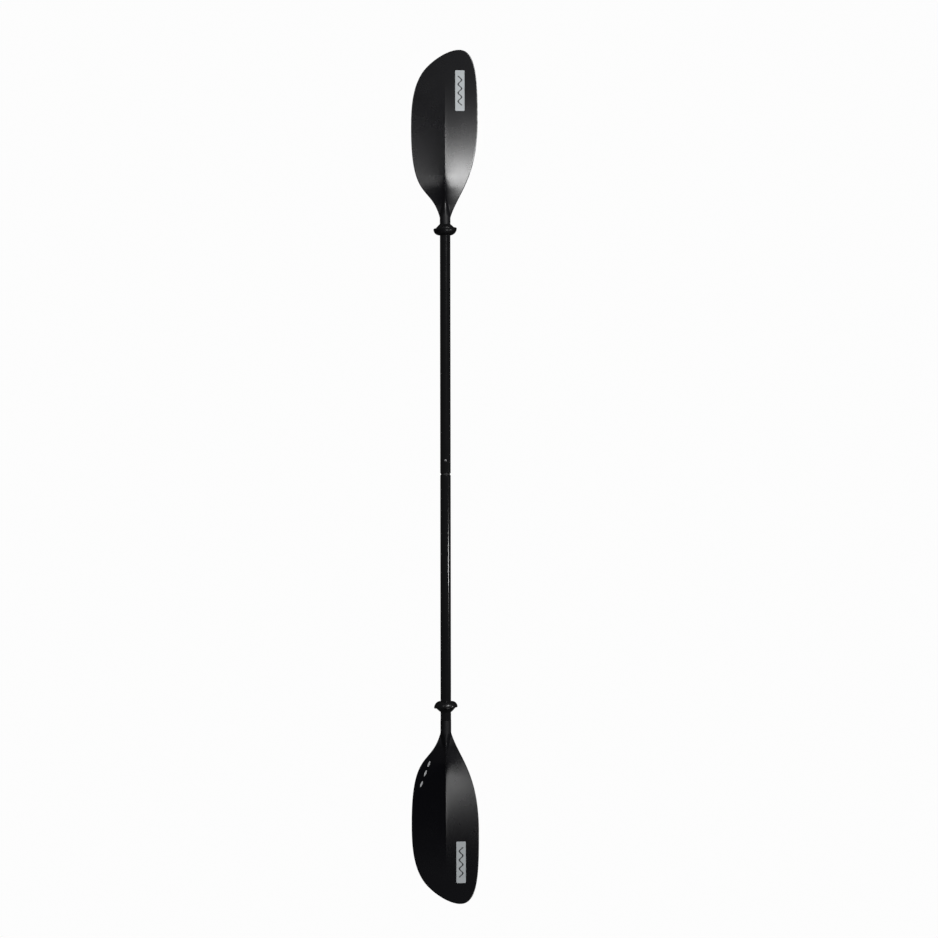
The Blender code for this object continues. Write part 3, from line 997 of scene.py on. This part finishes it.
# ---- Drip rings ----------------------------------------------------------------------------
# Soft rubber rings stretched over the shaft beside each blade. A bowl faces the hands, a plain
# cone faces the blade, and the groove between them catches the water. They sit a little canted.

ring_rim = 0.0312
ring_bore = neck_radius + 0.0003
ring_hub = ring_bore + 0.0016
ring_bowl_depth = 0.0165
ring_cone_height = 0.0115
ring_lip = 0.0016
ring_groove_depth = 0.006
ring_groove_width = 0.004
ring_end_round = 0.0006
ring_bowl_steps = 24
ring_cant = math.radians(3.2)
ring_sharp_angle = 40
ring_heights = {
    "upper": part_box("drip_ring_upper")[1].z - ring_cone_height,
    "lower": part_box("drip_ring_lower")[0].z + ring_cone_height,
}


def ring_rubber():
    """Satin black rubber with a fine moulded skin."""
    return grained(
        "ring_rubber",
        {
            "Colour": (0.005, 0.005, 0.006, 1),
            "Second Colour": (0.009, 0.009, 0.010, 1),
            "Roughness": 0.27,
            "Roughness Change": 0.10,
            "Grain Scale": 900.0,
            "Grain Depth": 0.8,
        },
        0.00006,
    )


def arc(centre, radius, start, end, steps=5):
    """Points on a circle from one angle to another, in degrees."""
    turn = np.radians(np.linspace(start, end, steps))
    return np.stack([centre[0] + radius * np.cos(turn), centre[1] + radius * np.sin(turn)], axis=1)


def drip_ring(side, half, look):
    """Ring profile carried round the shaft, then sheared so that its rim is canted."""
    turn = np.linspace(0, math.pi / 2, ring_bowl_steps)
    bowl = np.stack([
        ring_hub + (ring_rim - ring_hub) * np.sin(turn), -ring_bowl_depth * np.cos(turn)
    ], axis=1)
    lip_radius = ring_lip / 2
    lip = arc((ring_rim - lip_radius, 0), lip_radius, 0, 150, 8)
    foot = ring_rim - ring_lip - ring_groove_width
    bottom = ((ring_rim - ring_lip + foot) / 2, -ring_groove_depth)
    groove = arc(bottom, ring_groove_width / 5, 0, -180, 8)
    cone_start = arc((foot - lip_radius / 2, ring_lip), lip_radius / 2, 0, 60)
    rounding, inner = ring_end_round, ring_hub - ring_end_round
    end_round = arc((inner, ring_cone_height - rounding), rounding, 30, 90)
    start_round = arc((inner, -ring_bowl_depth + rounding), rounding, -90, -20)
    profile = np.vstack([
        [(ring_bore, -ring_bowl_depth)], start_round, bowl[2:-1], lip, groove, cone_start,
        end_round, [(ring_bore, ring_cone_height), (ring_bore, -ring_bowl_depth)],
    ])
    grid = revolved(profile * (1, side))
    radius = np.hypot(grid[..., 0], grid[..., 1])
    loose = np.clip((radius - ring_hub) / (ring_rim - ring_hub), 0, 1)
    grid[..., 2] += grid[..., 0] * math.tan(ring_cant) * loose + ring_heights[half]
    ring = patches(f"rubber_ring_{half}", [grid], look, sharp_from=ring_sharp_angle)
    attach(ring, f"ring_{half}")
    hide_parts(f"drip_ring_{half}")


ring_look = ring_rubber()
for side, half in halves:
    drip_ring(side, half, ring_look)


# ---- Stickers ------------------------------------------------------------------------------
# A pale film sticker on the long side of each power face, with a plain dark wave on it.
# It bends with the blade, and its corners are rounded.

sticker_width = 0.025
sticker_length = 0.110
sticker_thickness = 0.0003
sticker_from_tip = 0.055
sticker_from_axis = 0.040
sticker_lift = 0.0002
sticker_corner = 0.002
sticker_rows = 60
sticker_columns = 25
wave_turn = 0.27
wave_height = 4.5
wave_half_width = 1.9
wave_half_length = 40.0
wave_colour = (0.03, 0.035, 0.04, 1)
per_metre = 1000


def sticker_film():
    """Pale film with a dark sine wave along its middle.

    The wave is drawn by distances in millimetres on the film's own flat map. Its turn is in
    radians per millimetre.
    """
    made = bpy.data.materials.new("sticker_film")
    made.use_nodes = True
    tree = made.node_tree
    shader = tree.nodes["Principled BSDF"]
    shader.inputs["IOR"].default_value = 1.45
    flat = add(tree, "SeparateXYZ", {0: add(tree, "UVMap", uv_map="UVMap").outputs["UV"]})
    across, along = flat.outputs["X"], flat.outputs["Y"]
    swing = add(tree, "Math", {0: along, 1: wave_turn}, operation="MULTIPLY")
    wave = add(tree, "Math", {0: swing.outputs[0]}, operation="SINE")
    centre = add(
        tree, "Math", {0: wave.outputs[0], 1: -wave_height, 2: across}, operation="MULTIPLY_ADD"
    )
    off_wave = add(tree, "Math", {0: centre.outputs[0]}, operation="ABSOLUTE")
    band = add(
        tree, "Math", {0: off_wave.outputs[0], 1: wave_half_width}, operation="LESS_THAN"
    )
    from_end = add(tree, "Math", {0: along}, operation="ABSOLUTE")
    inside = add(
        tree, "Math", {0: from_end.outputs[0], 1: wave_half_length}, operation="LESS_THAN"
    )
    drawn = add(tree, "Math", {0: band.outputs[0], 1: inside.outputs[0]}, operation="MULTIPLY")
    surface = add(
        tree, "Group",
        {
            "Colour": (0.60, 0.64, 0.66, 1),
            "Second Colour": (0.74, 0.78, 0.80, 1),
            "Roughness": 0.42,
            "Roughness Change": 0.12,
            "Grain Scale": 500.0,
            "Grain Depth": 0.4,
        },
        node_tree=grain_group,
    )
    ink = add(
        tree, "Mix",
        {0: drawn.outputs[0], 6: surface.outputs["Color"], 7: wave_colour},
        data_type="RGBA",
    )
    bump = add(tree, "Bump", {"Height": surface.outputs["Height"], "Distance": 0.00005})
    tree.links.new(ink.outputs[2], shader.inputs["Base Color"])
    tree.links.new(surface.outputs["Roughness"], shader.inputs["Roughness"])
    tree.links.new(bump.outputs["Normal"], shader.inputs["Normal"])
    return made


def sticker(side, half, look):
    """Film over the power face, in rows from edge to edge.

    The rows near both ends are pulled in along a quarter circle, which rounds the corners.
    """
    v, u = np.meshgrid(
        np.linspace(-1, 1, sticker_rows), np.linspace(-1, 1, sticker_columns), indexing="ij"
    )
    half_width, half_length = sticker_width / 2, sticker_length / 2
    past = np.clip(np.abs(v) * half_length - (half_length - sticker_corner), 0, sticker_corner)
    pull = sticker_corner - np.sqrt(sticker_corner**2 - past**2)
    x = u * (half_width - pull) + sticker_from_axis
    distance = v * half_length + blade_length - sticker_from_tip - half_length
    under = blade_faces(x, distance)[0] - sticker_lift
    over = under - sticker_thickness
    sheets = [placed(x, y, distance, side) for y in (over, under)]
    flat = np.stack([u * half_width, v * half_length], axis=-1) * per_metre
    rims, rim_flat = [], []
    for cut in (np.s_[0, :], np.s_[-1, :], np.s_[:, 0], np.s_[:, -1]):
        rims.append(np.stack([sheets[0][cut], sheets[1][cut]]))
        rim_flat.append(np.stack([flat[cut], flat[cut]]))
    made = patches(
        f"sticker_{half}", [*sheets, *rims], look, shapes=[flat, flat, *rim_flat]
    )
    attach(made, f"{half}_half")
    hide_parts(f"label_{half}")


sticker_look = sticker_film()
for side, half in halves:
    sticker(side, half, sticker_look)


# ---- Printed marks -------------------------------------------------------------------------
# Three short marks of white ink beside the short edge of the lower blade, near its throat. They
# are a print, so each is a thin film that lies on the face.

mark_spots = ((-0.0450, 0.083), (-0.0545, 0.108), (-0.0650, 0.137))
mark_length = 0.017
mark_width = 0.0046
mark_lean = math.radians(22)
mark_lift = 0.00008
mark_rows = 24
mark_columns = 9
mark_roundness = 0.5


def print_ink():
    """White ink, slightly uneven where it was stamped on the grain."""
    return grained(
        "print_ink",
        {
            "Colour": (0.55, 0.56, 0.57, 1),
            "Second Colour": (0.85, 0.86, 0.87, 1),
            "Roughness": 0.5,
            "Roughness Change": 0.2,
            "Grain Scale": 700.0,
            "Grain Depth": 0.8,
        },
        0.00004,
    )


def printed_mark(number, spot, look):
    """A lens-shaped film: its half width is a power of the cosine of the way along it."""
    v = np.linspace(-1, 1, mark_rows)[:, None] * np.ones((1, mark_columns))
    u = np.linspace(-1, 1, mark_columns) * np.cos(v * math.pi / 2) ** mark_roundness
    along, across = v * mark_length / 2, u * mark_width / 2
    x = spot[0] - along * math.sin(mark_lean) + across * math.cos(mark_lean)
    distance = spot[1] + along * math.cos(mark_lean) + across * math.sin(mark_lean)
    front = blade_faces(x, distance)[0]
    top = placed(x, front - mark_lift, distance, -1)
    made = patches(f"printed_mark_{number}", [top], look)
    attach(made, "lower_half")


ink_look = print_ink()
for number, spot in enumerate(mark_spots, 1):
    printed_mark(number, spot, ink_look)


# ---- Studio --------------------------------------------------------------------------------
# A floor and backdrop in one sweep that the camera sees as white, a strong light high on the
# right, a weaker one low on the right, a faint one high on the left, a small one close on the
# right, and even dim light from the rest of the room.

sweep_width = 30.0
sweep_depth = 9.0
sweep_bend = 3.0
sweep_height = 12.0
sweep_floor = cad_low.z - 2.1
seen_white = 0.98
room_strength = 0.075
paper_grey = 0.25

# Name, watts, width and height, distance, degrees towards +X from -Y, and degrees upwards.
lights = (
    ("key", 74.0, (0.9, 0.9), 4.0, 26, 29),
    ("low", 16.0, (1.0, 1.0), 4.0, 26, -31),
    ("left", 5.0, (0.5, 0.5), 4.0, -21, 28),
    ("side", 2.6, (0.12, 0.16), 1.6, 66, -9),
)


def backdrop():
    """Profile of a flat floor, a quarter circle and a wall, carried across the studio."""
    bend = np.linspace(-math.pi / 2, 0, 24)
    foot = sweep_floor + sweep_bend
    y = np.concatenate([[-sweep_depth * 2], sweep_depth - sweep_bend + sweep_bend * np.cos(bend)])
    z = np.concatenate([[sweep_floor], foot + sweep_bend * np.sin(bend)])
    y, z = np.append(y, sweep_depth), np.append(z, sweep_height)
    x = np.array([-1, 1]) * sweep_width / 2
    grid = np.stack([
        np.repeat(x[None, :], len(y), axis=0),
        np.repeat(y[:, None], 2, axis=1),
        np.repeat(z[:, None], 2, axis=1),
    ], axis=-1)
    look = bpy.data.materials.new("backdrop")
    look.use_nodes = True
    tree = look.node_tree
    tree.nodes.remove(tree.nodes["Principled BSDF"])
    seen = add(tree, "LightPath").outputs["Is Camera Ray"]
    paper = add(tree, "BsdfDiffuse", {"Color": (paper_grey, paper_grey, paper_grey, 1)})
    white = (seen_white, seen_white, seen_white, 1)
    bright = add(tree, "Emission", {"Color": white, "Strength": 1.0})
    mixed = add(tree, "MixShader", {0: seen, 1: paper.outputs[0], 2: bright.outputs[0]})
    tree.links.new(mixed.outputs[0], tree.nodes["Material Output"].inputs["Surface"])
    made = patches("backdrop", [grid], look)


def studio_light(name, power, size, distance, azimuth, elevation):
    """Rectangular light aimed at the joint. Azimuth is from -Y towards +X, in degrees."""
    lamp = bpy.data.lights.new(name, "AREA")
    lamp.shape = "RECTANGLE"
    lamp.size, lamp.size_y = size
    lamp.energy = power
    made = bpy.data.objects.new(name, lamp)
    bpy.context.scene.collection.objects.link(made)
    a, e = math.radians(azimuth), math.radians(elevation)
    out = Vector((math.sin(a) * math.cos(e), -math.cos(a) * math.cos(e), math.sin(e)))
    made.location = out * distance
    made.rotation_euler = out.to_track_quat("Z", "Y").to_euler()


def room_light():
    """White where it is seen, and dim where it lights the paddle."""
    world = bpy.data.worlds.new("room")
    bpy.context.scene.world = world
    world.use_nodes = True
    tree = world.node_tree
    seen = add(tree, "LightPath").outputs["Is Camera Ray"]
    strength = add(tree, "MapRange", {0: seen, 3: room_strength, 4: seen_white})
    shade = tree.nodes["Background"]
    tree.links.new(strength.outputs[0], shade.inputs["Strength"])
    shade.inputs["Color"].default_value = (1, 1, 1, 1)


backdrop()
for light in lights:
    studio_light(*light)
room_light()
bpy.context.scene.view_settings.view_transform = "Standard"


# ---- Camera --------------------------------------------------------------------------------
# A long lens six metres in front of the power faces, a little below the joint and to its right,
# tilted up by a bit less than two degrees.

camera_distance = 6.0
camera_side = 0.0628
camera_height = -0.1692
camera_tilt = math.radians(1.748)
camera_roll = math.radians(-0.1)
camera_lens = 86.36
sensor_width = 36.0

camera_data = bpy.data.cameras.new("camera")
camera_data.lens = camera_lens
camera_data.sensor_width = sensor_width
camera = bpy.data.objects.new("camera", camera_data)
bpy.context.scene.collection.objects.link(camera)
camera.location = (camera_side, -camera_distance, camera_height)
turned_up = Matrix.Rotation(math.pi / 2 + camera_tilt, 4, "X")
camera.rotation_euler = (turned_up @ Matrix.Rotation(camera_roll, 4, "Z")).to_euler()
bpy.context.scene.camera = camera
